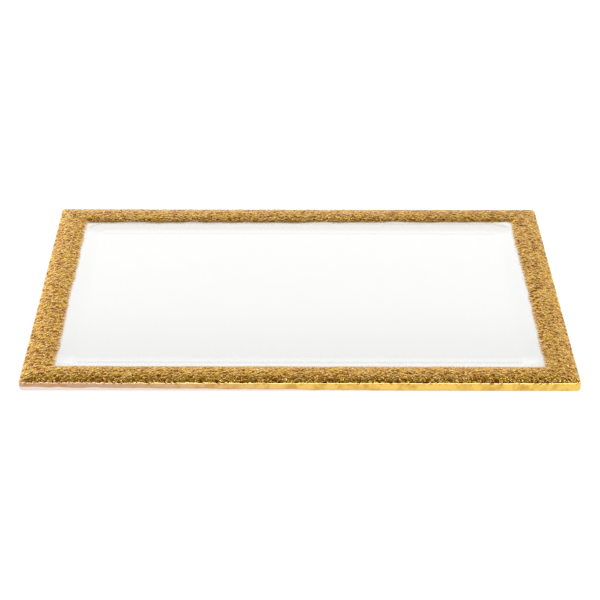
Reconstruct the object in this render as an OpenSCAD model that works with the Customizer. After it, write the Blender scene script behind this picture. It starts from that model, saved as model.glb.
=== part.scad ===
// Dresser vanity tray, kiln-formed from one sheet of clear glass.
//
// The sheet was laid over a shallow mould and fired until it sagged: the middle sank into a flat
// well and the border stayed a little higher all the way round. A band of fine crushed glass was
// fused onto the border, which gave it a crinkled and softly rounded face, and it was gilded. The
// gilding carries on over the polished edge and down the sides.
// The tray stands on a stick-on bumper at each corner, out of sight under the gilded border.
//
// Sizes are in millimetres. +Z is up and -Y is the long side that faces the user. The origin is
// the middle of the footprint, on the table top.

/* [Overall size] */
// Left to right, over the gilded edges
tray_width = 368; // [260:2:480]
// Front to back, over the gilded edges
tray_depth = 254; // [180:2:340]
// Thickness of the glass sheet, the same everywhere
glass_thickness = 6; // [5:0.5:8]
// Radius of the four outer corners, seen from above
outer_corner_radius = 3; // [2:0.25:6]
// Rounding of the polished edge, where the top turns into the side
edge_rounding = 1.2; // [0.6:0.1:1.6]

/* [Border and well] */
// Width of the gilded border, from the outer edge to where the clear glass starts
border_width = 20.5; // [17:0.5:30]
// How far the well floor lies below the border
well_depth = 1.2; // [0.8:0.1:2]
// Width of the soft slope between the border and the well floor
slope_width = 14; // [8:0.5:20]
// Radius of the well floor's corners, seen from above
well_corner_radius = 3; // [1:0.5:8]

/* [Gilding] */
// Thickness of the smooth gilding on the edge, and of the crinkled band along its two borders
edge_gilding = 0.25; // [0.2:0.05:0.3]
// How far the rounded face of the crinkled band swells above its two borders
border_crown = 1.2; // [0.3:0.05:1.5]
// Height of the strip of edge left ungilded at the underside
bare_edge = 0.7; // [0.5:0.1:2.5]
// Radius of the gilding's inner corners
gilding_inner_radius = 2.5; // [1:0.25:3]

/* [Bumpers] */
// Diameter of each domed bumper where it is stuck on
bumper_diameter = 9.5; // [7:0.5:10]
// Height of each bumper
bumper_height = 3.8; // [3.6:0.1:6]
// Diameter of the flat on the tip of the dome
bumper_tip = 3; // [1.5:0.5:4]
// Thickness of the adhesive under the glass
adhesive_thickness = 0.15; // [0.1:0.05:0.3]

/* [Hidden] */

$fn = 64;
slope_steps = 10;
arc_steps = 5;
crown_facets = 360;  // round a whole circle of the crown's large radius
overlap = 1;  // how far a cutting or joined solid runs on past the face it meets
bumper_wall = 0.4;  // straight side of a bumper, next to the adhesive
adhesive_margin = 0.4;  // ring of each bumper's base that the adhesive stops short of
bumper_margin = 3.25;  // from a bumper to the inner line of the border above it

// Heights above the table, from the bottom up
border_underside = bumper_height + adhesive_thickness;
border_top = border_underside + glass_thickness;
well_underside = border_underside - well_depth;
well_floor = border_top - well_depth;

// Outline of the bare glass, inside its gilded edge
glass_width = tray_width - 2 * edge_gilding;
glass_depth = tray_depth - 2 * edge_gilding;
glass_corner_radius = outer_corner_radius - edge_gilding;

// The underside of the slope lies outside the upper one, so the bent sheet keeps its thickness
slope_angle = atan(well_depth / slope_width);
bend_shift = glass_thickness * tan(slope_angle / 2);
well_inset = border_width + slope_width;

bumper_inset = border_width - bumper_margin - bumper_diameter / 2;

glass_colour = [0.87, 0.95, 0.93, 0.35];
gold_colour = [0.80, 0.62, 0.34];
bright_gold_colour = [0.93, 0.76, 0.42];
bumper_colour = [0.90, 0.91, 0.90, 0.6];
adhesive_colour = [0.95, 0.94, 0.88, 0.7];

// The four quarter turns that carry a drawing round a rectangle
SIDES = [0 : 3];

// Points of a quarter circle about [x, y], from straight right to straight up
function quarter_arc(x, y, radius) =
    [for (i = [0 : arc_steps]) [x + radius * cos(90 * i / arc_steps), y + radius * sin(90 * i / arc_steps)]];

// Points of a soft S from its level foot at [start, 0] to its level brim
function s_curve(start, spread, rise) =
    [for (i = [0 : slope_steps]) [start + spread * i / slope_steps, rise * (1 - cos(180 * i / slope_steps)) / 2]];

// Carries a profile round a rectangle with rounded corners. The profile is drawn outward from the
// corner centres, so its x runs from 0 to corner_radius.
module profile_around(width, depth, corner_radius) {
    half = [width / 2 - corner_radius, depth / 2 - corner_radius];
    for (side = SIDES) {
        out = half[side % 2];
        along = half[(side + 1) % 2];
        rotate([0, 0, 90 * side]) {
            translate([out, along, 0]) rotate([90, 0, 0]) linear_extrude(2 * along) children();
            translate([out, along, 0]) rotate_extrude(angle = 90) children();
        }
    }
}

// The rectangle between the corner centres, which closes the middle of a profile_around
module core(width, depth, corner_radius, height) {
    linear_extrude(height)
        square([width - 2 * corner_radius, depth - 2 * corner_radius], center = true);
}

// The flat sheet before it sagged, with its upper edge rounded
module sheet_blank() {
    core(glass_width, glass_depth, glass_corner_radius, glass_thickness);
    profile_around(glass_width, glass_depth, glass_corner_radius)
        polygon(concat(
            [[0, 0], [glass_corner_radius, 0]],
            quarter_arc(glass_corner_radius - edge_rounding, glass_thickness - edge_rounding, edge_rounding),
            [[0, glass_thickness]]
        ));
}

// A shallow dish shape: a flat foot, S-shaped sides that open upwards, and a straight brim above
module dish(foot_width, foot_depth) {
    brim_radius = well_corner_radius + slope_width;
    brim_width = foot_width + 2 * slope_width;
    brim_depth = foot_depth + 2 * slope_width;
    full_height = well_depth + overlap;
    core(brim_width, brim_depth, brim_radius, full_height);
    profile_around(brim_width, brim_depth, brim_radius)
        polygon(concat(
            [[0, 0]],
            s_curve(well_corner_radius, slope_width, well_depth),
            [[brim_radius, full_height], [0, full_height]]
        ));
}

module glass_tray() {
    foot_width = tray_width - 2 * well_inset;
    foot_depth = tray_depth - 2 * well_inset;
    color(glass_colour) {
        difference() {
            translate([0, 0, border_underside]) sheet_blank();
            translate([0, 0, well_floor]) dish(foot_width, foot_depth);
        }
        translate([0, 0, well_underside])
            dish(foot_width + 2 * bend_shift, foot_depth + 2 * bend_shift);
    }
}

module rounded_rectangle(width, depth, radius) {
    half = [width / 2 - radius, depth / 2 - radius];
    square([width, 2 * half[1]], center = true);
    square([2 * half[0], depth], center = true);
    for (x = [-1, 1], y = [-1, 1]) translate([x * half[0], y * half[1]]) circle(radius);
}

// Cross-section of the crinkled band, from its outer line at x = 0: flat below, and swelling above
// in one shallow arc that comes down to the edge's thickness at the border's inner line
module crowned_strip(band, reach) {
    crown_radius = (band * band / 4 + border_crown * border_crown) / (2 * border_crown);
    intersection() {
        translate([band / 2, edge_gilding + border_crown - crown_radius])
            circle(crown_radius, $fn = crown_facets);
        square([reach, edge_gilding + border_crown]);
    }
}

// One side of the picture frame that the crinkled band makes, with its outer line along X at
// y = 0 and its mitred ends meeting the next sides. It reaches past the border's inner line far
// enough to fill the rounded inner corners.
module mitred_side(length, band) {
    reach = band + gilding_inner_radius;
    intersection() {
        translate([-length / 2, 0, 0])
            rotate([90, 0, 90]) linear_extrude(length) crowned_strip(band, reach);
        linear_extrude(edge_gilding + border_crown) polygon([
            [-length / 2, 0], [length / 2, 0], [length / 2 - reach, reach], [reach - length / 2, reach]
        ]);
    }
}

// Crinkled, gilded band on the flat top of the border, from the edge rounding to the clear glass
module gilded_border() {
    outer_inset = edge_gilding + edge_rounding;
    outer = [tray_width - 2 * outer_inset, tray_depth - 2 * outer_inset];
    color(gold_colour) translate([0, 0, border_top]) intersection() {
        for (side = SIDES) rotate([0, 0, 90 * side]) translate([0, -outer[(side + 1) % 2] / 2, 0])
            mitred_side(outer[side % 2], border_width - outer_inset);
        linear_extrude(edge_gilding + border_crown) difference() {
            rounded_rectangle(outer[0], outer[1], outer_corner_radius - outer_inset);
            rounded_rectangle(
                tray_width - 2 * border_width,
                tray_depth - 2 * border_width,
                gilding_inner_radius
            );
        }
    }
}

// Smooth gold over the edge rounding and down the side, stopping short of the underside
module gilded_edge() {
    arc_x = glass_corner_radius - edge_rounding;
    arc_y = glass_thickness - edge_rounding;
    inner_line = quarter_arc(arc_x, arc_y, edge_rounding);
    outer_line = quarter_arc(arc_x, arc_y, edge_rounding + edge_gilding);
    color(bright_gold_colour) translate([0, 0, border_underside])
        profile_around(tray_width, tray_depth, outer_corner_radius)
            polygon(concat(
                [[glass_corner_radius, bare_edge], [outer_corner_radius, bare_edge]],
                outer_line,
                [for (i = [arc_steps : -1 : 0]) inner_line[i]]
            ));
}

// Puts a drawing under the border at one corner: right is -1 or 1, back is -1 or 1
module at_corner(right, back) {
    translate([right * (tray_width / 2 - bumper_inset), back * (tray_depth / 2 - bumper_inset), 0])
        children();
}

// Domed bumper, widest where it is stuck to the glass, with a small flat tip on the table
module bumper() {
    base = bumper_diameter / 2;
    tip = bumper_tip / 2;
    dome_height = bumper_height - bumper_wall;
    centre = (base * base - tip * tip + dome_height * dome_height) / (2 * dome_height);
    dome_radius = norm([tip, centre]);
    rotate_extrude() {
        translate([0, dome_height]) square([base, bumper_wall]);
        intersection() {
            translate([0, centre]) circle(dome_radius);
            square([base, dome_height]);
        }
    }
}

module adhesive() {
    translate([0, 0, bumper_height])
        cylinder(h = adhesive_thickness, r = bumper_diameter / 2 - adhesive_margin);
}

module bumper_front_left() { color(bumper_colour) at_corner(-1, -1) bumper(); }
module bumper_front_right() { color(bumper_colour) at_corner(1, -1) bumper(); }
module bumper_back_left() { color(bumper_colour) at_corner(-1, 1) bumper(); }
module bumper_back_right() { color(bumper_colour) at_corner(1, 1) bumper(); }

module adhesive_front_left() { color(adhesive_colour) at_corner(-1, -1) adhesive(); }
module adhesive_front_right() { color(adhesive_colour) at_corner(1, -1) adhesive(); }
module adhesive_back_left() { color(adhesive_colour) at_corner(-1, 1) adhesive(); }
module adhesive_back_right() { color(adhesive_colour) at_corner(1, 1) adhesive(); }

glass_tray();
gilded_border();
gilded_edge();
bumper_front_left();
bumper_front_right();
bumper_back_left();
bumper_back_right();
adhesive_front_left();
adhesive_front_right();
adhesive_back_left();
adhesive_back_right();
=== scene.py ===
"""Dresses and lights a gilded dresser tray of kiln-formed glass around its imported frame.

The tray is one sheet of clear glass with a shallow well. A band of crushed glass is fused onto its border
and lies crinkled under fired gold, and the gold runs on over the rounded edge, smooth and bright. Four
clear bumpers under the border hold the tray off the table.

Lengths are in metres, and names that end in _mm hold millimetres. +Z is up, and -Y is the long side that
faces the user.
"""

import logging
import math
from dataclasses import dataclass
from enum import Enum

import bpy
import numpy as np
from mathutils import Euler, Matrix, Vector, noise


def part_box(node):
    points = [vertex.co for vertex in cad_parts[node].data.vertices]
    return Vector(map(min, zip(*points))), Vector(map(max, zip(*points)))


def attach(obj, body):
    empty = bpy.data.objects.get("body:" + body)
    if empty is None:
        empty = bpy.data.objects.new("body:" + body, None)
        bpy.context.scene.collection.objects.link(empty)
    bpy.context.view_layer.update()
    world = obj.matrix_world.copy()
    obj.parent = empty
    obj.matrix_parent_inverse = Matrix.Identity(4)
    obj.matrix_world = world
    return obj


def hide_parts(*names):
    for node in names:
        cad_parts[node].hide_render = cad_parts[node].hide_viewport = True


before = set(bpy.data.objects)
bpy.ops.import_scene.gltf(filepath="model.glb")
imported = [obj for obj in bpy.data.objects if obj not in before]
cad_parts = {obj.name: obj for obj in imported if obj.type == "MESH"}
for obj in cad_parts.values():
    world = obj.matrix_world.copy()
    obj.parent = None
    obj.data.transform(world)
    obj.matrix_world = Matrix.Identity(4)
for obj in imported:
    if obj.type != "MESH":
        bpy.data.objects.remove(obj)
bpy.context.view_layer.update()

MM = 0.001
BODY = "root"
LOG = logging.getLogger("tray")

# Edges that bend more than this stay crisp
SHARP = math.radians(55)

# Sockets of the Mix node when it mixes colours
MIX_A = 6
MIX_B = 7
MIX_RESULT = 2

WHITE = "#FFFFFF"

# Nearly all of a noise texture lies between these
NOISE_LOW = 0.35
NOISE_HIGH = 0.65


class Corner(Enum):
    """The tray's corners, as the nodes' names give them."""

    FRONT_LEFT = "front_left"
    FRONT_RIGHT = "front_right"
    BACK_LEFT = "back_left"
    BACK_RIGHT = "back_right"


# ---------------------------------------------------------------------------------------------------
# Nodes and colours
# ---------------------------------------------------------------------------------------------------


def linear(hex_colour: str) -> tuple[float, float, float, float]:
    """Turns an sRGB hex colour into the linear one that shaders take.

    Args:
        hex_colour: The colour as "#RRGGBB".

    Returns:
        Linear red, green and blue, and an alpha of 1.
    """
    parts = [int(hex_colour[i : i + 2], 16) / 255 for i in (1, 3, 5)]
    red, green, blue = [v / 12.92 if v <= 0.04045 else ((v + 0.055) / 1.055) ** 2.4 for v in parts]
    return red, green, blue, 1.0


def add_node(
    tree: bpy.types.NodeTree,
    kind: str,
    inputs: dict[str | int, object] | None = None,
    stops: list[tuple[float, str]] | None = None,
    **settings: object,
) -> bpy.types.Node:
    """Adds a node with its settings and links.

    Args:
        tree: The node tree to add to.
        kind: The node's class name.
        inputs: What each input gets, by name or number: a value, or another node's output to link.
        stops: For a colour ramp, its places from 0 to 1 with their hex colours.
        settings: The node's own settings, by name.

    Returns:
        The new node.
    """
    node = tree.nodes.new(kind)
    for name, value in settings.items():
        setattr(node, name, value)
    for key, value in (inputs or {}).items():
        if isinstance(value, bpy.types.NodeSocket):
            tree.links.new(value, node.inputs[key])
        else:
            node.inputs[key].default_value = value
    if stops:
        elements = node.color_ramp.elements
        while len(elements) < len(stops):
            elements.new(1.0)
        for element, (place, hex_colour) in zip(elements, stops):
            element.position = place
            element.color = linear(hex_colour)
    return node


def new_material(name: str) -> tuple[bpy.types.Material, bpy.types.NodeTree, bpy.types.Node]:
    """Makes an empty material.

    Args:
        name: The material's name.

    Returns:
        The material, its node tree, and the tree's output node.
    """
    material = bpy.data.materials.new(name)
    material.use_nodes = True
    tree = material.node_tree
    tree.nodes.clear()
    return material, tree, add_node(tree, "ShaderNodeOutputMaterial")


# ---------------------------------------------------------------------------------------------------
# Finishes
# ---------------------------------------------------------------------------------------------------

# What the gold's meshes tell their finishes at each point
HEIGHT = "crinkle_height"
THINNESS = "coat_thinness"


@dataclass(frozen=True)
class ThinCoat:
    """What liquid gold looks like where the brush ran dry: first a dull rose, then a pale pearly film.

    Attributes:
        rose: The colour of the thin coat.
        rose_span: How dry the brush was where the rose sets in and where it is strongest.
        most_rose: The rose's largest share in the colour.
        pearl: The colour of the last film.
        pearl_span: The same for the pearl.
        most_pearl: The same for the pearl.
        patch_mm: About how far apart the drier patches are.
        unevenness: How much drier they are.
    """

    rose: str = "#D8AE88"
    rose_span: tuple[float, float] = (0.4, 0.85)
    most_rose: float = 0.5
    pearl: str = "#F1E6E0"
    pearl_span: tuple[float, float] = (0.9, 1.15)
    most_pearl: float = 0.85
    patch_mm: float = 14.0
    unevenness: float = 0.4

    def dryness(self, tree: bpy.types.NodeTree, place: bpy.types.NodeSocket) -> bpy.types.NodeSocket:
        """How dry the brush was, which is uneven.

        Args:
            tree: The material's node tree.
            place: The point's place on the tray.

        Returns:
            About 0 in the full coat and 1 where the coat ends.
        """
        thinness = add_node(tree, "ShaderNodeAttribute", attribute_name=THINNESS).outputs["Fac"]
        patch = add_node(
            tree,
            "ShaderNodeTexNoise",
            {"Vector": place, "Scale": 1 / (self.patch_mm * MM), "Detail": 0.5},
        ).outputs["Fac"]
        return add_node(
            tree,
            "ShaderNodeMath",
            {0: patch, 1: self.unevenness, 2: thinness},
            operation="MULTIPLY_ADD",
        ).outputs[0]

    def over(
        self,
        tree: bpy.types.NodeTree,
        colour: bpy.types.NodeSocket,
        dry: bpy.types.NodeSocket,
    ) -> bpy.types.NodeSocket:
        """Thins a full coat's colour out.

        Args:
            tree: The material's node tree.
            colour: The full coat's colour.
            dry: How dry the brush was.

        Returns:
            The thinned colour.
        """
        films = ((self.rose, self.rose_span, self.most_rose), (self.pearl, self.pearl_span, self.most_pearl))
        for film, (start, full), most in films:
            share = add_node(
                tree,
                "ShaderNodeMapRange",
                {"Value": dry, "From Min": start, "From Max": full, "To Max": most},
                interpolation_type="SMOOTHSTEP",
            ).outputs["Result"]
            colour = add_node(
                tree,
                "ShaderNodeMix",
                {0: share, MIX_A: colour, MIX_B: linear(film)},
                data_type="RGBA",
            ).outputs[MIX_RESULT]
        return colour


@dataclass(frozen=True)
class CrinkledGold:
    """Bright gold, brushed as a liquid lustre on fused crushed glass and fired.

    The creases are painted a dark amber as painted shade and the crests a pale yellow as painted
    highlight, by how high the crinkle stands. Where the lustre lies thick it leaves bright flakes. The
    finest cells of the crinkle are too small for the mesh and are drawn here.

    Attributes:
        crease: The colour of the creases, darkened as painted shade, and hollow, flank and crest those above
            them, the crest paled as painted highlight.
        levels: How high each of the four stands.
        cell_share: How much of that height is the fine cells'.
        flake: The colour of the flakes.
        flake_mm: About how far apart the flakes are.
        flake_span: Where in their noise they set in and are full.
        most_flake: Their largest share in the colour.
        thin_coat: How the coat thins out.
        fade_span: How dry the brush was where the coat starts to end and where it has ended.
        cell_mm: The width of a fine cell.
        cell_wander_mm: How far the cells are pulled out of shape.
        cell_depth_mm: How deep their creases are.
        cell_flank: How far a cell rises from its crease, in cell widths.
        calm_span: How thin the coat is where the cells start to die away and where they have gone.
        calm_level: The height that they die away to.
        grain_mm: The grain of the gold. The real one is far finer and is drawn this coarse to show.
        grain_depth_mm: How deep the grain is.
        roughest: The roughness in the grain's hollows.
        smoothest: The roughness on its crests.
    """

    crease: str = "#7E4404"
    hollow: str = "#BC7616"
    flank: str = "#E4AD40"
    crest: str = "#FFE8A8"
    levels: tuple[float, ...] = (0.1, 0.24, 0.46, 0.86)
    cell_share: float = 0.4
    flake: str = "#F0BE38"
    flake_mm: float = 6.0
    flake_span: tuple[float, float] = (0.52, 0.62)
    most_flake: float = 0.55
    thin_coat: ThinCoat = ThinCoat()
    fade_span: tuple[float, float] = (0.75, 1.18)
    cell_mm: float = 2.1
    cell_wander_mm: float = 0.7
    cell_depth_mm: float = 0.16
    cell_flank: float = 0.38
    calm_span: tuple[float, float] = (0.35, 0.75)
    calm_level: float = 0.7
    grain_mm: float = 0.45
    grain_depth_mm: float = 0.02
    roughest: float = 0.26
    smoothest: float = 0.12

    def build(self, ends: bool) -> bpy.types.Material:
        """Makes the material, which reads how high the crinkle stands and how thin the coat is.

        Args:
            ends: True for the part of the coat along the inner line, which thins out to nothing.

        Returns:
            The material.
        """
        material, tree, output = new_material("fired_gold_feathered" if ends else "fired_gold_crinkled")
        place = add_node(tree, "ShaderNodeTexCoord").outputs["Object"]
        cell = self.cells(tree, place)
        dry = self.thin_coat.dryness(tree, place)
        colour = self.thin_coat.over(tree, self.full_coat(tree, place, cell), dry)
        grain = add_node(
            tree,
            "ShaderNodeTexNoise",
            {"Vector": place, "Scale": 1 / (self.grain_mm * MM), "Detail": 2.0, "Distortion": 0.4},
        ).outputs["Fac"]
        roughness = add_node(
            tree,
            "ShaderNodeMapRange",
            {
                "Value": grain,
                "From Min": NOISE_LOW,
                "From Max": NOISE_HIGH,
                "To Min": self.roughest,
                "To Max": self.smoothest,
            },
        ).outputs["Result"]
        fine = add_node(
            tree,
            "ShaderNodeBump",
            {"Height": grain, "Strength": 1.0, "Distance": self.grain_depth_mm * MM},
        ).outputs["Normal"]
        relief = add_node(
            tree,
            "ShaderNodeBump",
            {"Height": cell, "Strength": 1.0, "Distance": self.cell_depth_mm * MM, "Normal": fine},
        ).outputs["Normal"]
        shader = add_node(
            tree,
            "ShaderNodeBsdfPrincipled",
            {"Base Color": colour, "Roughness": roughness, "Metallic": 1.0, "Normal": relief},
        )
        if ends:
            left = add_node(
                tree,
                "ShaderNodeMapRange",
                {
                    "Value": dry,
                    "From Min": self.fade_span[0],
                    "From Max": self.fade_span[1],
                    "To Min": 1.0,
                    "To Max": 0.0,
                },
                interpolation_type="SMOOTHSTEP",
            ).outputs["Result"]
            tree.links.new(left, shader.inputs["Alpha"])
        tree.links.new(shader.outputs["BSDF"], output.inputs["Surface"])
        return material

    def cells(self, tree: bpy.types.NodeTree, place: bpy.types.NodeSocket) -> bpy.types.NodeSocket:
        """Draws the finest cells of the crinkle, which meet in sharp creases and fade out with the relief.

        Args:
            tree: The material's node tree.
            place: The point's place on the tray.

        Returns:
            How high the point stands, from 0 in a crease to 1 on a crest.
        """
        pull = add_node(
            tree,
            "ShaderNodeTexNoise",
            {"Vector": place, "Scale": 1 / (1.5 * self.cell_mm * MM), "Detail": 2.0},
        ).outputs["Color"]
        centred = add_node(
            tree,
            "ShaderNodeVectorMath",
            {0: pull, 1: (0.5, 0.5, 0.5)},
            operation="SUBTRACT",
        ).outputs[0]
        # The noise strays about a quarter from its middle
        reach = 4 * self.cell_wander_mm * MM
        bent = add_node(
            tree,
            "ShaderNodeVectorMath",
            {0: centred, 1: (reach, reach, reach), 2: place},
            operation="MULTIPLY_ADD",
        ).outputs[0]
        to_crease = add_node(
            tree,
            "ShaderNodeTexVoronoi",
            {"Vector": bent, "Scale": 1 / (self.cell_mm * MM)},
            feature="DISTANCE_TO_EDGE",
        ).outputs["Distance"]
        cell = add_node(
            tree,
            "ShaderNodeMapRange",
            {"Value": to_crease, "From Min": 0.0, "From Max": self.cell_flank},
            interpolation_type="SMOOTHSTEP",
        ).outputs["Result"]
        thinness = add_node(tree, "ShaderNodeAttribute", attribute_name=THINNESS).outputs["Fac"]
        calm = add_node(
            tree,
            "ShaderNodeMapRange",
            {"Value": thinness, "From Min": self.calm_span[0], "From Max": self.calm_span[1]},
            interpolation_type="SMOOTHSTEP",
        ).outputs["Result"]
        return add_node(
            tree,
            "ShaderNodeMix",
            {0: calm, 2: cell, 3: self.calm_level},
            data_type="FLOAT",
        ).outputs[0]

    def full_coat(
        self,
        tree: bpy.types.NodeTree,
        place: bpy.types.NodeSocket,
        cell: bpy.types.NodeSocket,
    ) -> bpy.types.NodeSocket:
        """Mixes the colours of the full coat.

        Args:
            tree: The material's node tree.
            place: The point's place on the tray.
            cell: How high the point stands in its cell.

        Returns:
            The colour.
        """
        height = add_node(tree, "ShaderNodeAttribute", attribute_name=HEIGHT).outputs["Fac"]
        level = add_node(
            tree,
            "ShaderNodeMix",
            {0: self.cell_share, 2: height, 3: cell},
            data_type="FLOAT",
        ).outputs[0]
        # Painted shade and highlight: the colour darkens toward the creases and pales toward the crests, by
        # the crinkle's height and its fine cells
        painted_shade_and_highlight = add_node(
            tree,
            "ShaderNodeValToRGB",
            {"Fac": level},
            list(zip(self.levels, (self.crease, self.hollow, self.flank, self.crest))),
        ).outputs["Color"]
        flake = add_node(
            tree,
            "ShaderNodeTexNoise",
            {"Vector": place, "Scale": 1 / (self.flake_mm * MM), "Detail": 1.0, "Distortion": 0.6},
        ).outputs["Fac"]
        thick = add_node(
            tree,
            "ShaderNodeMapRange",
            {
                "Value": flake,
                "From Min": self.flake_span[0],
                "From Max": self.flake_span[1],
                "To Max": self.most_flake,
            },
        ).outputs["Result"]
        return add_node(
            tree,
            "ShaderNodeMix",
            {0: thick, MIX_A: painted_shade_and_highlight, MIX_B: linear(self.flake)},
            data_type="RGBA",
        ).outputs[MIX_RESULT]


@dataclass(frozen=True)
class PolishedGold:
    """Bright gold, brushed as a liquid lustre on the flame-polished edge and fired.

    On smooth glass it fires to a bright yellow mirror. Along the left end of the front face its colour
    is painted paler and rosier, as a painted reflection of the white surroundings.

    Attributes:
        full: The colour of the full coat.
        thin: The paler, rosier colour painted at the left end of the front face as a painted reflection.
        front_span: Where the painted reflection starts to give way to the full coat's colour and where it
            has gone, in half widths from the middle.
        turn_mm: How far behind the front face the painted reflection has gone and all of the coat is full.
        drift: How far the streaks move the change, in half widths.
        streak: The colour of the brush's streaks.
        streak_mm: About how long the streaks are.
        streak_span: Where in their noise they set in and are full.
        most_streak: Their largest share in the colour.
        crease: The painted shade in the creases that run out over the edge.
        crease_span: How high the crinkle stands where that sets in and where it is full.
        most_crease: Its largest share in the colour.
        thin_coat: How the coat thins out.
        ripple_mm: About how far apart the glass's ripples are.
        ripple_depth_mm: How deep they are.
        roughness: The gold's roughness.
    """

    full: str = "#F4CC68"
    thin: str = "#C8A388"
    front_span: tuple[float, float] = (-0.6, 0.45)
    turn_mm: float = 5.0
    drift: float = 0.5
    streak: str = "#B87C2E"
    streak_mm: float = 9.0
    streak_span: tuple[float, float] = (0.45, 0.64)
    most_streak: float = 0.6
    crease: str = "#7A5420"
    crease_span: tuple[float, float] = (0.5, 0.25)
    most_crease: float = 0.95
    thin_coat: ThinCoat = ThinCoat(rose="#CC9E78", patch_mm=6.0)
    ripple_mm: float = 2.5
    ripple_depth_mm: float = 0.12
    roughness: float = 0.15

    def build(self, half_width: float, front: float) -> bpy.types.Material:
        """Makes the material.

        Args:
            half_width: Half the tray's width, over which the coat on the front changes from thin to full.
            front: The Y of the front face.

        Returns:
            The material.
        """
        material, tree, output = new_material("fired_gold_polished")
        place = add_node(tree, "ShaderNodeTexCoord").outputs["Object"]
        apart = add_node(tree, "ShaderNodeSeparateXYZ", {"Vector": place})
        streaks = add_node(
            tree,
            "ShaderNodeTexNoise",
            {"Vector": place, "Scale": 1 / (self.streak_mm * MM), "Detail": 3.0, "Roughness": 0.6},
        ).outputs["Fac"]
        drift = add_node(
            tree,
            "ShaderNodeMath",
            {0: streaks, 1: self.drift * half_width, 2: apart.outputs["X"]},
            operation="MULTIPLY_ADD",
        ).outputs[0]
        # Painted reflection: the colour runs from the pale, rosy one at the left end of the front face to
        # the full yellow at the right, and is full yellow a few millimetres behind the front face
        behind = add_node(
            tree,
            "ShaderNodeMapRange",
            {
                "Value": apart.outputs["Y"],
                "From Min": front,
                "From Max": front + self.turn_mm * MM,
                "To Max": 2 * half_width,
            },
        ).outputs["Result"]
        reach = add_node(tree, "ShaderNodeMath", {0: drift, 1: behind}, operation="ADD").outputs[0]
        start, end = self.front_span
        pale_reflection_fade = add_node(
            tree,
            "ShaderNodeMapRange",
            {"Value": reach, "From Min": start * half_width, "From Max": end * half_width},
            interpolation_type="SMOOTHSTEP",
        ).outputs["Result"]
        coat = add_node(
            tree,
            "ShaderNodeMix",
            {0: pale_reflection_fade, MIX_A: linear(self.thin), MIX_B: linear(self.full)},
            data_type="RGBA",
        ).outputs[MIX_RESULT]
        # Darker where the brush's streaks lie, and darker in the creases as painted shade, by how high the
        # crinkle stands
        height = add_node(tree, "ShaderNodeAttribute", attribute_name=HEIGHT).outputs["Fac"]
        for source, (start, end), most, hex_colour in (
            (streaks, self.streak_span, self.most_streak, self.streak),
            (height, self.crease_span, self.most_crease, self.crease),
        ):
            share = add_node(
                tree,
                "ShaderNodeMapRange",
                {"Value": source, "From Min": start, "From Max": end, "To Max": most},
            ).outputs["Result"]
            coat = add_node(
                tree,
                "ShaderNodeMix",
                {0: share, MIX_A: coat, MIX_B: linear(hex_colour)},
                data_type="RGBA",
            ).outputs[MIX_RESULT]
        ripple = add_node(
            tree,
            "ShaderNodeTexNoise",
            {"Vector": place, "Scale": 1 / (self.ripple_mm * MM), "Detail": 2.0},
        ).outputs["Fac"]
        relief = add_node(
            tree,
            "ShaderNodeBump",
            {"Height": ripple, "Strength": 1.0, "Distance": self.ripple_depth_mm * MM},
        ).outputs["Normal"]
        shader = add_node(
            tree,
            "ShaderNodeBsdfPrincipled",
            {
                "Base Color": self.thin_coat.over(tree, coat, self.thin_coat.dryness(tree, place)),
                "Roughness": self.roughness,
                "Metallic": 1.0,
                "Normal": relief,
            },
        )
        tree.links.new(shader.outputs["BSDF"], output.inputs["Surface"])
        return material


@dataclass(frozen=True)
class KilnFormedGlass:
    """Clear soda-lime float glass, sagged over a mould and fire-polished in the kiln.

    It is nearly colourless, and the kiln leaves very shallow waves that only show where something is
    mirrored in it.

    Attributes:
        tint: The colour that light takes on at each face.
        passed: The colour of the light that a lamp sends through.
        ior: The index of refraction.
        roughness: The fire-polished face's roughness.
        wave_mm: About how far apart the waves are.
        wave_depth_mm: How deep they are.
    """

    tint: str = "#EDEDEB"
    passed: str = "#F2F5F4"
    ior: float = 1.52
    roughness: float = 0.015
    wave_mm: float = 28.0
    wave_depth_mm: float = 0.02

    def build(self) -> bpy.types.Material:
        """Makes the material. Lamps shine through it, as they do through real glass."""
        material, tree, output = new_material("float_glass_kiln_formed")
        place = add_node(tree, "ShaderNodeTexCoord").outputs["Object"]
        waves = add_node(
            tree,
            "ShaderNodeTexNoise",
            {"Vector": place, "Scale": 1 / (self.wave_mm * MM), "Detail": 1.0},
        ).outputs["Fac"]
        relief = add_node(
            tree,
            "ShaderNodeBump",
            {"Height": waves, "Strength": 1.0, "Distance": self.wave_depth_mm * MM},
        ).outputs["Normal"]
        glass = add_node(
            tree,
            "ShaderNodeBsdfPrincipled",
            {
                "Base Color": linear(self.tint),
                "Roughness": self.roughness,
                "IOR": self.ior,
                "Transmission Weight": 1.0,
                "Normal": relief,
            },
        )
        open_way = add_node(tree, "ShaderNodeBsdfTransparent", {"Color": linear(self.passed)})
        lamp_ray = add_node(tree, "ShaderNodeLightPath").outputs["Is Shadow Ray"]
        shader = add_node(
            tree,
            "ShaderNodeMixShader",
            {0: lamp_ray, 1: glass.outputs["BSDF"], 2: open_way.outputs["BSDF"]},
        )
        tree.links.new(shader.outputs["Shader"], output.inputs["Surface"])
        return material


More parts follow.
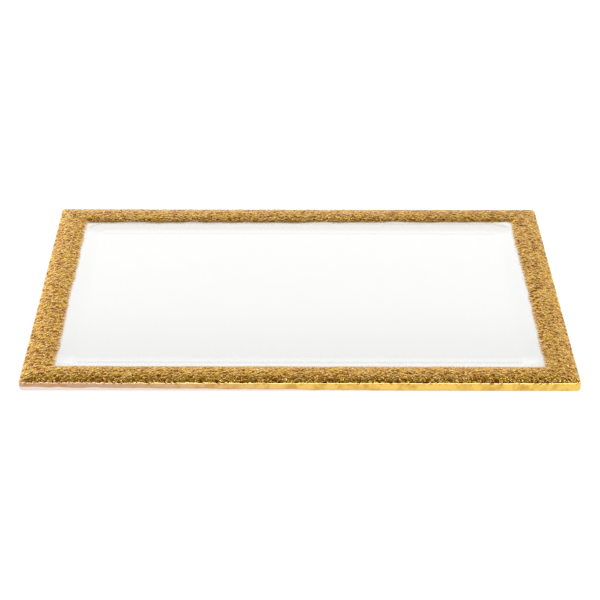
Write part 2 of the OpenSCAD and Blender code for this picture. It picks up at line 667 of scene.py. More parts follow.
@dataclass(frozen=True)
class CastPolyurethane:
    """Clear polyurethane, cast as a domed bumper.

    It is glossy and water-clear with a hint of grey, and a little scuffed from the table.

    Attributes:
        tint: The colour that light takes on at each face.
        ior: The index of refraction.
        clearness: How much of the light passes through it.
        scuff_mm: The scuffs. The real ones are hair-fine and are drawn this coarse to show.
        scuff_span: Where in their noise they set in and are worst.
        smoothest: The roughness between them.
        roughest: The roughness in them.
    """

    tint: str = "#EDEFEE"
    ior: float = 1.49
    clearness: float = 0.9
    scuff_mm: float = 1.2
    scuff_span: tuple[float, float] = (0.45, 0.7)
    smoothest: float = 0.06
    roughest: float = 0.2

    def build(self) -> bpy.types.Material:
        """Makes the material."""
        material, tree, output = new_material("polyurethane_cast_clear")
        place = add_node(tree, "ShaderNodeTexCoord").outputs["Object"]
        scuffs = add_node(
            tree,
            "ShaderNodeTexNoise",
            {"Vector": place, "Scale": 1 / (self.scuff_mm * MM), "Detail": 4.0, "Roughness": 0.7},
        ).outputs["Fac"]
        roughness = add_node(
            tree,
            "ShaderNodeMapRange",
            {
                "Value": scuffs,
                "From Min": self.scuff_span[0],
                "From Max": self.scuff_span[1],
                "To Min": self.smoothest,
                "To Max": self.roughest,
            },
        ).outputs["Result"]
        shader = add_node(
            tree,
            "ShaderNodeBsdfPrincipled",
            {
                "Base Color": linear(self.tint),
                "Roughness": roughness,
                "IOR": self.ior,
                "Transmission Weight": self.clearness,
            },
        )
        tree.links.new(shader.outputs["BSDF"], output.inputs["Surface"])
        return material


@dataclass(frozen=True)
class AcrylicAdhesive:
    """Clear pressure-sensitive acrylic, die-cut as a disc.

    It looks slightly milky, with small dry spots where it hasn't wetted the glass.

    Attributes:
        wet: Its colour where it has wetted the glass.
        dry: The colour of the dry spots.
        spot_mm: About how far apart the spots are.
        spot_span: Where in their noise they set in and are full.
        ior: The index of refraction.
        roughness: Its roughness.
    """

    wet: str = "#DADCD6"
    dry: str = "#F4F4F0"
    spot_mm: float = 0.9
    spot_span: tuple[float, float] = (0.5, 0.62)
    ior: float = 1.47
    roughness: float = 0.3

    def build(self) -> bpy.types.Material:
        """Makes the material."""
        material, tree, output = new_material("acrylic_adhesive_clear")
        place = add_node(tree, "ShaderNodeTexCoord").outputs["Object"]
        spots = add_node(
            tree,
            "ShaderNodeTexNoise",
            {"Vector": place, "Scale": 1 / (self.spot_mm * MM), "Detail": 2.0},
        ).outputs["Fac"]
        colour = add_node(
            tree,
            "ShaderNodeValToRGB",
            {"Fac": spots},
            list(zip(self.spot_span, (self.wet, self.dry))),
        ).outputs["Color"]
        shader = add_node(
            tree,
            "ShaderNodeBsdfPrincipled",
            {"Base Color": colour, "Roughness": self.roughness, "IOR": self.ior},
        )
        tree.links.new(shader.outputs["BSDF"], output.inputs["Surface"])
        return material


# ---------------------------------------------------------------------------------------------------
# Meshes
# ---------------------------------------------------------------------------------------------------


class Ends(Enum):
    """What happens at the first and last ring of a skin."""

    JOINED = "the last ring joins the first, so the section is closed"
    CAPPED = "a flat face fills the first ring and another the last"


def skin(name: str, rings: list[np.ndarray], ends: Ends) -> bpy.types.Object:
    """Joins rings of points into a smooth closed skin.

    Each ring runs anticlockwise seen from above. The rings run outward below, up the outside and inward
    above, so that all faces look out.

    Args:
        name: The new object's name.
        rings: One array of points for each ring, all with the same number of points.
        ends: What happens at the first and last ring.

    Returns:
        The object, linked to the scene.
    """
    count = len(rings[0])
    here = np.arange(count)
    ahead = np.roll(here, -1)
    spans = [(i, i + 1) for i in range(len(rings) - 1)]
    if ends is Ends.JOINED:
        spans.append((len(rings) - 1, 0))
    faces = []
    for first, second in spans:
        low, high = first * count, second * count
        faces += np.stack((here + low, ahead + low, ahead + high, here + high), axis=1).tolist()
    if ends is Ends.CAPPED:
        faces.append(here[::-1].tolist())
        faces.append((here + (len(rings) - 1) * count).tolist())
    mesh = bpy.data.meshes.new(name)
    mesh.from_pydata(np.concatenate(rings).tolist(), [], faces)
    mesh.shade_smooth()
    mesh.set_sharp_from_angle(angle=SHARP)
    piece = bpy.data.objects.new(name, mesh)
    bpy.context.scene.collection.objects.link(piece)
    return piece


@dataclass(frozen=True)
class Outline:
    """A rectangle with rounded corners, walked with the same number of points at any inset.

    Attributes:
        width: Its size along X.
        depth: Its size along Y.
        step: About how far apart the points are along the straight sides.
        corner_steps: How many steps each corner takes.
    """

    width: float
    depth: float
    step: float
    corner_steps: int

    def walk(self, inset: float, radius: float) -> np.ndarray:
        """Walks once round, anticlockwise from the right end of the back right corner.

        Args:
            inset: How far the walk lies inside the outline.
            radius: The radius of the walk's corners.

        Returns:
            The points' X and Y, one row each.
        """
        half = np.array([self.width / 2, self.depth / 2]) - inset - radius
        runs = (self.width, self.depth, self.width, self.depth)
        signs = ((1, 1), (-1, 1), (-1, -1), (1, -1))
        bends = []
        for quarter, sign in enumerate(signs):
            angles = math.pi / 2 * (quarter + np.linspace(0, 1, self.corner_steps + 1))
            bends.append(half * sign + radius * np.stack([np.cos(angles), np.sin(angles)], axis=1))
        stretches = []
        for quarter, run in enumerate(runs):
            between = np.linspace(0, 1, round(run / self.step) + 1)[1:-1, None]
            start, end = bends[quarter][-1], bends[(quarter + 1) % 4][0]
            stretches += [bends[quarter], start + (end - start) * between]
        return np.concatenate(stretches)


def raised(points: np.ndarray, height: float | np.ndarray) -> np.ndarray:
    """Puts a walk's points at a height.

    Args:
        points: X and Y, one row each.
        height: Z, one number for all or one for each point.

    Returns:
        X, Y and Z, one row each.
    """
    return np.column_stack([points, np.broadcast_to(height, len(points))])


def outward_of(line: np.ndarray) -> np.ndarray:
    """Which way is out, at each point of a walk.

    Args:
        line: X and Y, one row each.

    Returns:
        Unit vectors, one row each.
    """
    ahead = np.roll(line, -1, axis=0) - np.roll(line, 1, axis=0)
    ahead /= np.linalg.norm(ahead, axis=1, keepdims=True)
    return np.column_stack([ahead[:, 1], -ahead[:, 0]])


def keep(piece: bpy.types.Object, name: str, values: np.ndarray) -> None:
    """Stores one number for each point of a piece, for its material to read.

    Args:
        piece: The piece.
        name: What to call the numbers.
        values: One number for each of its points.
    """
    attribute = piece.data.attributes.new(name, "FLOAT", "POINT")
    attribute.data.foreach_set("value", values)


def noise_at(points: np.ndarray, period: float, seed: float = 0.0) -> np.ndarray:
    """Smooth noise in the plane, from about -1 to 1.

    Args:
        points: X and Y, one row each.
        period: About how far apart its hills are.
        seed: Which noise, as a height to cut it at.

    Returns:
        One number for each point.
    """
    return np.array([noise.noise(Vector((x / period, y / period, seed))) for x, y in points])


def s_curve(share: np.ndarray, bend: float = 0.22) -> np.ndarray:
    """The soft S of the slope to the well: an even slope with a bend at each end.

    Args:
        share: How far along the slope, from 0 to 1.
        bend: The share of the slope that each bend takes.

    Returns:
        How far up the slope, from 0 to 1.
    """
    even = (share - bend / 2) / (1 - bend)
    lower = share**2 / (2 * bend * (1 - bend))
    upper = 1 - (1 - share) ** 2 / (2 * bend * (1 - bend))
    return np.where(share < bend, lower, np.where(share > 1 - bend, upper, even))


@dataclass(frozen=True)
class TrayFrame:
    """The sizes that the tray's pieces share.

    The first group is what the CAD boxes give. The second repeats the source's own sizes, which a box
    can't tell.

    Attributes:
        width: The tray's size along X, over the gold.
        depth: Its size along Y, over the gold.
        well_underside: The height of the glass's underside at the well.
        border_underside: The same at the border.
        border_top: The height of the glass's top at the border.
        edge_gilding: How thick the gold is over the edge, thicker than real so that it is a solid.
        crown_top: The height of the band's crown.
        border_width: The width of the gold from the outer edge inward.
        slope_width: The width of the slope to the well.
        outer_radius: The radius of the tray's corners, seen from above.
        well_radius: The same for the well floor's.
        inner_radius: The same for the gold's inner line.
        edge_rounding: The rounding between the glass's side and its top.
        underside_rounding: The same at its underside.
    """

    width: float
    depth: float
    well_underside: float
    border_underside: float
    border_top: float
    edge_gilding: float
    crown_top: float

    border_width: float = 20.5 * MM
    slope_width: float = 14 * MM
    outer_radius: float = 3 * MM
    well_radius: float = 3 * MM
    inner_radius: float = 2.5 * MM
    edge_rounding: float = 1.2 * MM
    underside_rounding: float = 0.5 * MM

    @classmethod
    def read(cls) -> "TrayFrame":
        """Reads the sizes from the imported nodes' boxes."""
        glass_low, glass_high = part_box("glass_tray")
        edge_low, edge_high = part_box("gilded_edge")
        _, border_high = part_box("gilded_border")
        _, adhesive_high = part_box("adhesive_front_left")
        return cls(
            width=edge_high.x - edge_low.x,
            depth=edge_high.y - edge_low.y,
            well_underside=glass_low.z,
            border_underside=adhesive_high.z,
            border_top=glass_high.z,
            edge_gilding=edge_high.x - glass_high.x,
            crown_top=border_high.z,
        )

    @property
    def well_depth(self) -> float:
        """How far the well floor lies below the border."""
        return self.border_underside - self.well_underside

    @property
    def thickness(self) -> float:
        """Thickness of the glass."""
        return self.border_top - self.border_underside

    @property
    def strip_inset(self) -> float:
        """From the outer edge to where the edge rounding ends and the crinkle starts."""
        return self.edge_gilding + self.edge_rounding


@dataclass(frozen=True)
class Crinkle:
    """The relief of the fused band: uneven little domes that meet in creases.

    Attributes:
        dome: About how wide a dome is.
        wander: How far the domes are pulled out of shape.
        depth: From the deepest crease to the highest crest.
        calm_patch: About how far apart the calmer patches are.
        crease_width: How wide the creases are, in dome widths.
        fold_sharpness: How narrow the crests of the longer folds between the domes are.
        mean: The height that lies on the band's smooth face.
        plain: The height whose colour the coat takes where the relief has died away.
        seed: Which way the domes are pulled. Without a fixed one, each run would pull them another way.
    """

    dome: float = 2.9 * MM
    wander: float = 1.25 * MM
    depth: float = 0.57 * MM
    calm_patch: float = 9 * MM
    crease_width: float = 0.35
    fold_sharpness: float = 2.6
    mean: float = 0.55
    plain: float = 0.6
    seed: int = 5

    def heights(self, points: np.ndarray) -> np.ndarray:
        """How high the relief stands.

        Args:
            points: X and Y, one row each.

        Returns:
            One number for each point, from 0 in the deepest crease to 1 on the highest crest.
        """
        noise.seed_set(self.seed)
        found = np.empty(len(points))
        for i, (x, y) in enumerate(points):
            spot = Vector((x, y, 0.0))
            pull = noise.noise_vector(spot / (1.6 * self.dome))
            bent = (spot + self.wander * pull) / self.dome
            nearest, second = noise.voronoi(bent)[0][:2]
            crease = min(1.0, (second - nearest) / self.crease_width)
            dome = crease * (2 - crease) * (1 - 0.5 * nearest)
            # The folds are cut out of the same noise elsewhere, so that they don't follow the domes
            elsewhere = Vector((7.0, 3.0, 1.0))
            fold = 1 - abs(noise.noise(bent * 0.8 + elsewhere)) * self.fold_sharpness
            found[i] = 0.5 * dome + 0.5 * max(0.0, fold)
        calm = 0.1 + 0.15 * noise_at(points, self.calm_patch, seed=3.0)
        return np.clip(found * (1 - calm) + 0.5 * calm, 0.0, 1.0)

    def lift(self, heights: np.ndarray, strength: float | np.ndarray) -> np.ndarray:
        """How far the relief lifts the coat off the band's smooth face.

        Args:
            heights: How high the relief stands, as heights() gives it.
            strength: How much of the relief there is, from 0 to 1.

        Returns:
            The lift at each point.
        """
        return strength * self.depth * (heights - self.mean)

    def shade(self, heights: np.ndarray, strength: float | np.ndarray) -> np.ndarray:
        """The height that the coat's painted shade and highlight go by, with the same arguments."""
        return self.plain + strength * (heights - self.plain)


@dataclass(frozen=True)
class MaskLine:
    """Where the mask lay that kept the gold off the well, a little off square at each corner.

    Attributes:
        front_left: How far the mask's corner lies from its nominal place, along X and Y.
        front_right: The same for the front right corner.
        back_left: The same for the back left corner.
        back_right: The same for the back right corner.
        wander: How far the line wanders on its way.
        period: About how long each wander is.
    """

    front_left: tuple[float, float] = (0.45 * MM, -0.35 * MM)
    front_right: tuple[float, float] = (0.05 * MM, -1.0 * MM)
    back_left: tuple[float, float] = (0.45 * MM, -3.6 * MM)
    back_right: tuple[float, float] = (-0.4 * MM, -1.2 * MM)
    wander: float = 0.45 * MM
    period: float = 26 * MM

    def shifts(self, line: np.ndarray) -> np.ndarray:
        """How far each point of the nominal line moves.

        Args:
            line: X and Y, one row each.

        Returns:
            The moves along X and Y, one row each.
        """
        share = (line - line.min(axis=0)) / np.ptp(line, axis=0)
        across, along = share[:, :1], share[:, 1:]
        front = np.array(self.front_left) * (1 - across) + np.array(self.front_right) * across
        back = np.array(self.back_left) * (1 - across) + np.array(self.back_right) * across
        drift = self.wander * noise_at(line, self.period, seed=4.0)
        return front * (1 - along) + back * along + outward_of(line) * drift[:, None]


@dataclass(frozen=True)
class CrinkledBorder:
    """The crinkled, gilded band on the border.

    Attributes:
        tray: The tray's sizes.
        crinkle: The band's relief.
        mask: The line that the gold ends at.
        rows: How many rows of faces cross the band.
        step: About how far apart the points of a row are.
        corner_steps: How many steps a row takes round each corner.
        gap: How far the coat's underside lies off the glass.
        crown_shape: How boxy the crown is: 2 is a plain arch.
        film: How far the gold runs on past its nominal line, as a film.
        hem: The width at the inner line over which the band comes down to the glass.
        fade: The width at the inner line over which the coat thins.
        feathered_rows: How many rows at the inner line wear the finish that ends in nothing.
    """

    tray: TrayFrame
    crinkle: Crinkle
    mask: MaskLine
    rows: int = 38
    step: float = 0.56 * MM
    corner_steps: int = 5
    gap: float = 0.02 * MM
    crown_shape: float = 2.6
    film: float = 1.9 * MM
    hem: float = 2.6 * MM
    fade: float = 5.0 * MM
    feathered_rows: int = 10

    def build(self) -> bpy.types.Object:
        """Builds the strip: a flat underside on the glass and a crowned, crinkled face that thins inward.

        Returns:
            The strip.
        """
        tray = self.tray
        outline = Outline(tray.width, tray.depth, self.step, self.corner_steps)
        outer_radius = tray.outer_radius - tray.strip_inset
        band = tray.border_width - tray.strip_inset
        crown = tray.crown_top - tray.border_top - tray.edge_gilding
        shifts = self.mask.shifts(outline.walk(tray.border_width, tray.inner_radius))
        rings, heights, thinness = [], [], []
        for reach in np.linspace(0, band + self.film, self.rows + 1):
            share = reach / (band + self.film)
            radius = outer_radius + share * (tray.inner_radius - outer_radius)
            # The outer rows stay straight
            points = outline.walk(tray.strip_inset + reach, radius) + shifts * share**3
            relief = self.crinkle.heights(points)
            left = (1 - share) * (band + self.film)
            strength = min(1.0, left / self.hem)
            rise = self.gap + (tray.edge_gilding - self.gap) * strength
            rise += crown * max(0.0, 1 - abs(2 * reach / band - 1) ** self.crown_shape)
            lift = self.crinkle.lift(relief, strength)
            rings.append(raised(points, self.glass_top(points) + rise + lift))
            heights.append(self.crinkle.shade(relief, strength))
            thinness.append(np.full(len(points), max(0.0, 1 - left / self.fade)))
        foot, under = (
            raised(ring[:, :2], self.glass_top(ring[:, :2]) + 0.5 * self.gap)
            for ring in (rings[0], rings[-1])
        )
        piece = skin("crinkled_gold_border", [foot, *rings, under], Ends.JOINED)
        columns = len(foot)
        row = np.arange(len(piece.data.polygons)) // columns
        feathered = (row > self.rows - self.feathered_rows).astype(int)
        piece.data.polygons.foreach_set("material_index", feathered)
        keep(piece, HEIGHT, np.concatenate([heights[0], *heights, heights[-1]]))
        keep(piece, THINNESS, np.concatenate([thinness[0], *thinness, thinness[-1]]))
        return piece

    def glass_top(self, points: np.ndarray) -> np.ndarray:
        """How high the glass stands under the coat, which runs a little way down the slope to the well.

        Args:
            points: X and Y, one row each.

        Returns:
            The height of the glass at each point.
        """
        tray = self.tray
        nearest = np.minimum(tray.width / 2 - abs(points[:, 0]), tray.depth / 2 - abs(points[:, 1]))
        share = np.clip((nearest - tray.border_width) / tray.slope_width, 0.0, 1.0)
        return tray.border_top - tray.well_depth * s_curve(share)

    def dress(self, piece: bpy.types.Object, finish: CrinkledGold) -> None:
        """Gives the strip its finish and its place in the frame.

        Args:
            piece: The strip.
            finish: Its finish.
        """
        piece.data.materials.append(finish.build(ends=False))
        piece.data.materials.append(finish.build(ends=True))
        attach(piece, BODY)
        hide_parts("gilded_border")


@dataclass(frozen=True)
class GildedEdge:
    """The gold over the edge rounding, where the crinkle dies away, and down the side, where it is smooth.

    Attributes:
        tray: The tray's sizes.
        crinkle: The relief that runs out over the edge.
        step: About how far apart the points of a row are.
        corner_steps: How many steps a row takes round each corner.
        arc_steps: How many rows cross the rounding.
        side_rows: How many rows go down the side.
        gap: How far the coat's underside lies off the glass.
        end_left: How far down the side the full coat reaches at the left end.
        end_right: The same at the right end.
        end_wander: How far that line wanders.
        end_period: About how long each wander is.
        film: How wide the band is over which the coat thins out there.
        film_end: How far down the side the mesh of the coat goes.
        calm_start: Where the crinkle starts to die away, as a share of the rounding.
        die_away: The length over which it does.
        die_shape: How much faster it does so at first.
        least_relief: What is left of it on the side.
    """

    tray: TrayFrame
    crinkle: Crinkle
    step: float = 0.56 * MM
    corner_steps: int = 8
    arc_steps: int = 6
    side_rows: int = 9
    gap: float = 0.02 * MM
    end_left: float = 1.4 * MM
    end_right: float = 4.9 * MM
    end_wander: float = 0.5 * MM
    end_period: float = 14 * MM
    film: float = 2.0 * MM
    film_end: float = 4.9 * MM
    calm_start: float = 0.3
    die_away: float = 3.4 * MM
    die_shape: float = 1.5
    least_relief: float = 0.08

    @property
    def outline(self) -> Outline:
        """The tray's outline, walked finely enough for the crinkle."""
        return Outline(self.tray.width, self.tray.depth, self.step, self.corner_steps)

    def ring(self, run: np.ndarray, coat: float) -> tuple[np.ndarray, np.ndarray]:
        """One ring of the coat, with each point a run down from where the rounding meets the top.

        Args:
            run: How far down the coat each point lies, measured along the glass.
            coat: How far the ring lies outside the glass.

        Returns:
            The ring's points, and how high the crinkle stands at each.
        """
        tray = self.tray
        arc = tray.edge_rounding * math.pi / 2
        side = tray.thickness - tray.edge_rounding - tray.underside_rounding
        upper = np.clip(run, 0, arc) / tray.edge_rounding
        down = np.clip(run - arc, 0, side)
        lower = np.clip(run - arc - side, 0, None) / tray.underside_rounding
        out = np.where(lower > 0, np.cos(lower), np.sin(upper))
        up = np.where(lower > 0, -np.sin(lower), np.cos(upper))
        rounding = np.where(lower > 0, tray.underside_rounding, tray.edge_rounding)
        inset = tray.edge_gilding + rounding * (1 - out)
        height = tray.border_top - tray.edge_rounding * (1 - np.cos(upper)) - down
        height -= tray.underside_rounding * np.sin(lower)
        unrolled = self.outline.walk(tray.strip_inset - float(np.mean(run)), tray.outer_radius)
        relief = self.crinkle.heights(unrolled)
        gone = np.maximum(run - self.calm_start * arc, 0) / self.die_away
        strength = np.clip(1 - gone, self.least_relief, 1) ** self.die_shape
        lift = coat if coat < tray.edge_gilding else coat + self.crinkle.lift(relief, strength)
        line = self.outline.walk(0.0, tray.outer_radius)
        outward = outward_of(line)
        points = line + outward * (lift * out - inset)[:, None]
        return raised(points, height + lift * up), self.crinkle.shade(relief, strength)

    def build(self) -> bpy.types.Object:
        """Builds the coat: up the side, over the rounding, and back down against the glass.

        Returns:
            The coat.
        """
        tray = self.tray
        line = self.outline.walk(0.0, tray.outer_radius)
        arc = tray.edge_rounding * math.pi / 2
        share = 0.5 + line[:, 0] / tray.width
        end = arc + self.end_left + (self.end_right - self.end_left) * share
        end = end + self.end_wander * noise_at(line, self.end_period, seed=2.0)
        over = [np.full(len(line), arc * i / self.arc_steps) for i in range(self.arc_steps)]
        downs = [self.film_end * i / self.side_rows for i in range(self.side_rows + 1)]
        side = [np.full(len(line), arc + down) for down in downs]
        runs = [*over, *side]
        outside = [self.ring(run, tray.edge_gilding) for run in reversed(runs)]
        inside = [self.ring(run, self.gap) for run in runs]
        piece = skin("bright_gold_edge", [points for points, _ in (*outside, *inside)], Ends.JOINED)
        heights = np.concatenate([height for _, height in (*outside, *inside)])
        keep(piece, HEIGHT, heights)
        thinness = [np.clip(0.5 + (run - end) / self.film, 0, 1) for run in (*reversed(runs), *runs)]
        keep(piece, THINNESS, np.concatenate(thinness))
        return piece

    def dress(self, piece: bpy.types.Object, finish: PolishedGold) -> None:
        """Gives the coat its finish and its place in the frame.

        Args:
            piece: The coat.
            finish: Its finish.
        """
        piece.data.materials.append(finish.build(self.tray.width / 2, -self.tray.depth / 2))
        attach(piece, BODY)
        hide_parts("gilded_edge")


@dataclass(frozen=True)
class GlassSheet:
    """The sheet of glass, sagged in the middle into a shallow well.

    Attributes:
        tray: The tray's sizes.
        step: About how far apart the points of a ring are.
        corner_steps: How many steps a ring takes round each corner.
        slope_steps: How many rings the slope to the well takes.
        arc_steps: How many rings each rounding takes.
        floor_rings: How many rings the well floor takes.
        floor_end: The inset of the innermost of them, as a share of the tray's depth.
        wave: How high the floor's waves are.
        wave_period: About how long they are.
    """

    tray: TrayFrame
    step: float = 6 * MM
    corner_steps: int = 10
    slope_steps: int = 36
    arc_steps: int = 6
    floor_rings: int = 10
    floor_end: float = 0.47
    wave: float = 0.04 * MM
    wave_period: float = 45 * MM

    @property
    def outline(self) -> Outline:
        """The tray's outline, walked finely enough for smooth glass."""
        return Outline(self.tray.width, self.tray.depth, self.step, self.corner_steps)

    def slope(self, foot_inset: float, foot: float, brim: float, outward: bool) -> list[np.ndarray]:
        """The soft S between the well floor and the border.

        Args:
            foot_inset: The inset of the slope's lower end.
            foot: The height of its lower end.
            brim: The height of its upper end.
            outward: True to list the rings from the foot outward.

        Returns:
            The slope's rings.
        """
        tray = self.tray
        rings = []
        shares = np.linspace(0, 1, self.slope_steps + 1)
        for share, rise in zip(shares, s_curve(shares)):
            spread = share * tray.slope_width
            points = self.outline.walk(foot_inset - spread, tray.well_radius + spread)
            rings.append(raised(points, foot + (brim - foot) * rise))
        return rings if outward else rings[::-1]

    def rounding(self, corner_height: float, radius: float, upper: bool) -> list[np.ndarray]:
        """The rounded corner between the sheet's side and its top or underside, from below upward.

        Args:
            corner_height: The height of the top or underside.
            radius: The rounding's radius.
            upper: True for the top, False for the underside.

        Returns:
            The rounding's rings.
        """
        tray = self.tray
        rings = []
        for i in range(self.arc_steps + 1):
            angle = math.pi / 2 * i / self.arc_steps
            out, up = (math.cos(angle), math.sin(angle)) if upper else (math.sin(angle), -math.cos(angle))
            inset = tray.edge_gilding + radius * (1 - out)
            points = self.outline.walk(inset, tray.outer_radius - inset)
            centre = corner_height - radius if upper else corner_height + radius
            rings.append(raised(points, centre + radius * up))
        return rings

    def well_floor(self) -> list[np.ndarray]:
        """Rings of the well floor from the slope's foot to near the middle, with the kiln's slight waves.

        Returns:
            The floor's rings.
        """
        tray = self.tray
        start = tray.border_width + tray.slope_width
        end = self.floor_end * tray.depth
        rings = []
        for i in range(1, self.floor_rings + 1):
            share = i / self.floor_rings
            points = self.outline.walk(start + (end - start) * share, tray.well_radius)
            waves = self.wave * noise_at(points, self.wave_period, seed=9.0) * min(1.0, 2 * share)
            rings.append(raised(points, tray.border_top - tray.well_depth + waves))
        return rings

    def build(self) -> bpy.types.Object:
        """Builds the sheet from the middle of its underside, round the edge, to the middle of its top.

        Returns:
            The sheet.
        """
        tray = self.tray
        foot_inset = tray.border_width + tray.slope_width
        slope_angle = math.atan2(tray.well_depth, tray.slope_width)
        bend_shift = tray.thickness * math.tan(slope_angle / 2)
        rings = [
            *self.slope(foot_inset - bend_shift, tray.well_underside, tray.border_underside, outward=True),
            *self.rounding(tray.border_underside, tray.underside_rounding, upper=False),
            *self.rounding(tray.border_top, tray.edge_rounding, upper=True),
            *self.slope(foot_inset, tray.border_top - tray.well_depth, tray.border_top, outward=False),
            *self.well_floor(),
        ]
        return skin("kiln_formed_glass_sheet", rings, Ends.CAPPED)

    def dress(self, piece: bpy.types.Object, finish: KilnFormedGlass) -> None:
        """Gives the sheet its finish and its place in the frame.

        Args:
            piece: The sheet.
            finish: Its finish.
        """
        piece.data.materials.append(finish.build())
        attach(piece, BODY)
        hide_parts("glass_tray")


@dataclass(frozen=True)
class Bumper:
    """A domed, stick-on bumper at one corner.

    Attributes:
        corner: Which corner.
        tip: Radius of the dome's worn tip.
        wall: Height of the straight side next to the adhesive.
        fillet: Rounding of the rim.
        steps: How many rings the dome takes.
        round_steps: How many points each ring has.
    """

    corner: Corner
    tip: float = 1.5 * MM
    wall: float = 0.4 * MM
    fillet: float = 0.15 * MM
    steps: int = 14
    round_steps: int = 56

    def build(self) -> bpy.types.Object:
        """Builds the dome from its tip up to its flat top.

        Returns:
            The bumper.
        """
        low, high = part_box(f"bumper_{self.corner.value}")
        middle = np.array([(low.x + high.x) / 2, (low.y + high.y) / 2])
        base = (high.x - low.x) / 2
        dome_height = high.z - low.z - self.wall
        centre = (base**2 - self.tip**2 + dome_height**2) / (2 * dome_height)
        sphere = math.hypot(self.tip, centre)
        first, last = math.asin(self.tip / sphere), math.asin(base / sphere)
        profile = []
        for i in range(self.steps + 1):
            angle = first + (last - first) * i / self.steps
            profile.append((sphere * math.sin(angle), centre - sphere * math.cos(angle)))
        top = high.z - low.z
        # A fillet's middle lies about 0.3 radii in from its corner
        for inward, down in ((0.0, 1.0), (0.3, 0.3), (1.0, 0.0)):
            profile.append((base - inward * self.fillet, top - down * self.fillet))
        turn = np.linspace(0, 2 * math.pi, self.round_steps, endpoint=False)
        circle = np.stack([np.cos(turn), np.sin(turn)], axis=1)
        rings = [raised(middle + radius * circle, low.z + height) for radius, height in profile]
        return skin(f"polyurethane_bumper_{self.corner.value}", rings, Ends.CAPPED)

    def dress(self, piece: bpy.types.Object, finish: bpy.types.Material) -> None:
        """Gives the bumper its finish and its place in the frame.

        Args:
            piece: The bumper.
            finish: The material that all four share.
        """
        piece.data.materials.append(finish)
        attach(piece, BODY)
        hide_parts(f"bumper_{self.corner.value}")


@dataclass(frozen=True)
class AdhesiveDisc:
    """The adhesive disc of one bumper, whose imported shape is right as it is.

    Attributes:
        corner: Which corner.
    """

    corner: Corner

    def dress(self, finish: bpy.types.Material) -> bpy.types.Object:
        """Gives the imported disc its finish.

        Args:
            finish: The material that all four share.

        Returns:
            The disc.
        """
        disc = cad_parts[f"adhesive_{self.corner.value}"]
        disc.data.materials.clear()
        disc.data.materials.append(finish)
        return disc


# ---------------------------------------------------------------------------------------------------
# Studio
# ---------------------------------------------------------------------------------------------------


@dataclass(frozen=True)
class Softbox:
    """A large soft lamp that looks at the tray.

    Attributes:
        name: The lamp's name.
        place: Where it hangs.
        size: Its width and height.
        power: Its power in watts.
    """

    name: str
    place: tuple[float, float, float]
    size: tuple[float, float]
    power: float

    def build(self) -> bpy.types.Object:
        """Hangs the lamp.

        Returns:
            The lamp.
        """
        lamp = bpy.data.lights.new(self.name, "AREA")
        lamp.shape = "RECTANGLE"
        lamp.size, lamp.size_y = self.size
        lamp.energy = self.power
        holder = bpy.data.objects.new(self.name, lamp)
        holder.location = self.place
        holder.rotation_euler = (-Vector(self.place)).to_track_quat("-Z", "Y").to_euler()
        bpy.context.scene.collection.objects.link(holder)
        return holder


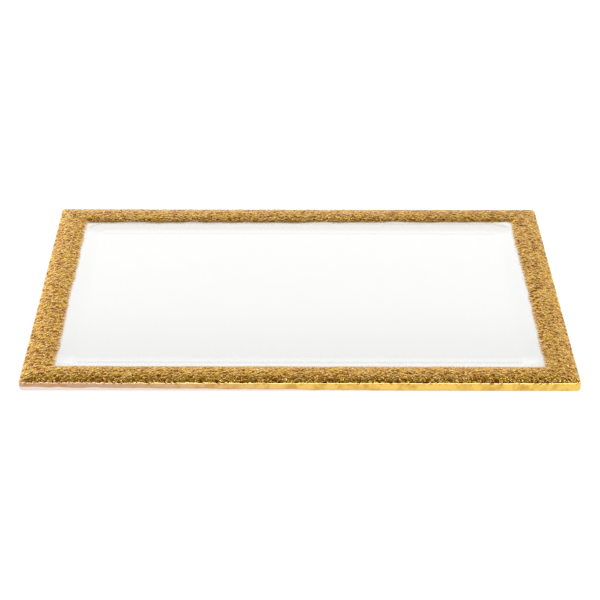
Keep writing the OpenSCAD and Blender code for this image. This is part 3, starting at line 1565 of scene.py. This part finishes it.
@dataclass(frozen=True)
class Studio:
    """A white light table in an even room that is brightest at the horizon.

    Attributes:
        floor_size: The side of the square floor.
        floor_colour: The colour of the table's opal sheet, unlit.
        floor_glow: How brightly the sheet is lit from below, in front of the tray and behind its middle. The
            step up from the one to the other is a painted brightening that makes the glass read lighter
            toward its back, standing in for the reflections in it.
        glow_span: The Y where the first of these ends and the Y where the second starts.
        sky: The room's brightness by the sine of the height above the horizon.
        sky_gain: What that brightness is multiplied by.
        left_gain: How much brighter the room is far to the left.
        right_gain: How much brighter the room is far to the right.
    """

    floor_size: float = 60.0
    floor_colour: str = "#3C3C3C"
    floor_glow: tuple[float, float] = (0.98, 1.11)
    glow_span: tuple[float, float] = (-120 * MM, 0.0)
    sky: tuple[tuple[float, float], ...] = (
        (0.0, 1.05),
        (0.2, 1.2),
        (0.4, 1.4),
        (0.5, 0.93),
        (0.62, 0.52),
        (0.75, 0.32),
        (0.9, 0.2),
        (1.0, 0.18),
    )
    sky_gain: float = 1.1
    left_gain: float = 0.98
    right_gain: float = 0.7
    softboxes: tuple[Softbox, ...] = (
        Softbox("softbox_left", (-1.1, -0.3, 1.5), (1.2, 1.2), 9.0),
        Softbox("softbox_right", (1.3, 0.3, 1.3), (1.0, 1.2), 8.0),
        Softbox("softbox_front", (0.1, -1.8, 1.5), (1.6, 0.5), 16.0),
        Softbox("softbox_far_left", (-1.07, 2.2, 0.35), (1.0, 0.5), 1.0),
    )

    def build(self) -> None:
        """Lays the floor, lights the room and hangs the lamps."""
        self.lay_floor()
        self.light_room()
        for softbox in self.softboxes:
            softbox.build()
        bpy.context.scene.view_settings.view_transform = "Standard"

    def lay_floor(self) -> None:
        """Lays the opal sheet, which isn't part of the tray."""
        half = self.floor_size / 2
        corners = [(-half, -half, 0), (half, -half, 0), (half, half, 0), (-half, half, 0)]
        mesh = bpy.data.meshes.new("floor")
        mesh.from_pydata(corners, [], [(0, 1, 2, 3)])
        floor = bpy.data.objects.new("floor", mesh)
        bpy.context.scene.collection.objects.link(floor)
        material, tree, output = new_material("opal_acrylic_sheet")
        place = add_node(tree, "ShaderNodeTexCoord").outputs["Object"]
        along = add_node(tree, "ShaderNodeSeparateXYZ", {"Vector": place})
        # Painted light: the glow rises from in front of the tray to behind its middle, so the glass reads
        # darker at the front and lighter at the back
        glow = add_node(
            tree,
            "ShaderNodeMapRange",
            {
                "Value": along.outputs["Y"],
                "From Min": self.glow_span[0],
                "From Max": self.glow_span[1],
                "To Min": self.floor_glow[0],
                "To Max": self.floor_glow[1],
            },
            interpolation_type="SMOOTHSTEP",
        ).outputs["Result"]
        shader = add_node(
            tree,
            "ShaderNodeBsdfPrincipled",
            {
                "Base Color": linear(self.floor_colour),
                "Roughness": 0.9,
                "Specular IOR Level": 0.0,
                "Emission Color": linear(WHITE),
                "Emission Strength": glow,
            },
        )
        tree.links.new(shader.outputs["BSDF"], output.inputs["Surface"])
        mesh.materials.append(material)

    def light_room(self) -> None:
        """Lights the room evenly all round, brightest at the horizon."""
        world = bpy.data.worlds.new("studio")
        bpy.context.scene.world = world
        world.use_nodes = True
        tree = world.node_tree
        tree.nodes.clear()
        heading = add_node(tree, "ShaderNodeTexCoord").outputs["Generated"]
        along = add_node(tree, "ShaderNodeSeparateXYZ", {"Vector": heading})
        curve = add_node(tree, "ShaderNodeFloatCurve", {"Value": along.outputs["Z"]})
        points = curve.mapping.curves[0].points
        while len(points) < len(self.sky):
            points.new(0.5, 0.5)
        for point, (height, brightness) in zip(points, self.sky):
            point.location = (height, brightness)
        curve.mapping.update()
        gain = add_node(
            tree,
            "ShaderNodeMapRange",
            {
                "Value": along.outputs["X"],
                "From Min": -1.0,
                "From Max": 1.0,
                "To Min": self.sky_gain * self.left_gain,
                "To Max": self.sky_gain * self.right_gain,
            },
        ).outputs["Result"]
        level = add_node(
            tree,
            "ShaderNodeMath",
            {0: curve.outputs["Value"], 1: gain},
            operation="MULTIPLY",
        ).outputs[0]
        room = add_node(tree, "ShaderNodeBackground", {"Color": linear(WHITE), "Strength": level})
        output = add_node(tree, "ShaderNodeOutputWorld")
        tree.links.new(room.outputs["Background"], output.inputs["Surface"])


@dataclass(frozen=True)
class Camera:
    """The camera, in front of the tray and above it.

    Attributes:
        lens_mm: Focal length on a 36 mm sensor.
        place: Where it stands.
        pitch: How far it looks down, in degrees.
        yaw: How far it turns to the left, in degrees.
        roll: How far it leans to the left, in degrees.
    """

    lens_mm: float = 104.54
    place: tuple[float, float, float] = (-6.9 * MM, -1090.2 * MM, 616.5 * MM)
    pitch: float = 29.47
    yaw: float = -0.39
    roll: float = 0.28

    def build(self) -> bpy.types.Object:
        """Stands the camera in the scene and makes it the scene's camera.

        Returns:
            The camera.
        """
        data = bpy.data.cameras.new("camera")
        data.lens = self.lens_mm
        camera = bpy.data.objects.new("camera", data)
        turn = Euler((0, 0, math.radians(self.yaw))).to_matrix()
        nod = Euler((math.radians(90 - self.pitch), 0, 0)).to_matrix()
        lean = Euler((0, 0, math.radians(self.roll))).to_matrix()
        camera.matrix_world = Matrix.Translation(self.place) @ (turn @ nod @ lean).to_4x4()
        bpy.context.scene.collection.objects.link(camera)
        bpy.context.scene.camera = camera
        return camera


# ---------------------------------------------------------------------------------------------------
# The whole tray
# ---------------------------------------------------------------------------------------------------


def main() -> None:
    """Builds the camera, the studio and every piece of the tray."""
    logging.basicConfig(level=logging.INFO, format="%(name)s: %(message)s")
    Camera().build()
    Studio().build()
    tray = TrayFrame.read()
    crinkle = Crinkle()
    for maker, finish in (
        (GlassSheet(tray), KilnFormedGlass()),
        (CrinkledBorder(tray, crinkle, MaskLine()), CrinkledGold()),
        (GildedEdge(tray, crinkle), PolishedGold()),
    ):
        piece = maker.build()
        maker.dress(piece, finish)
        LOG.info("built %s with %d faces", piece.name, len(piece.data.polygons))
    polyurethane = CastPolyurethane().build()
    for corner in Corner:
        bumper = Bumper(corner)
        piece = bumper.build()
        bumper.dress(piece, polyurethane)
        LOG.info("built %s with %d faces", piece.name, len(piece.data.polygons))
    adhesive = AcrylicAdhesive().build()
    for corner in Corner:
        disc = AdhesiveDisc(corner).dress(adhesive)
        LOG.info("dressed %s", disc.name)


if __name__ == "__main__":
    main()
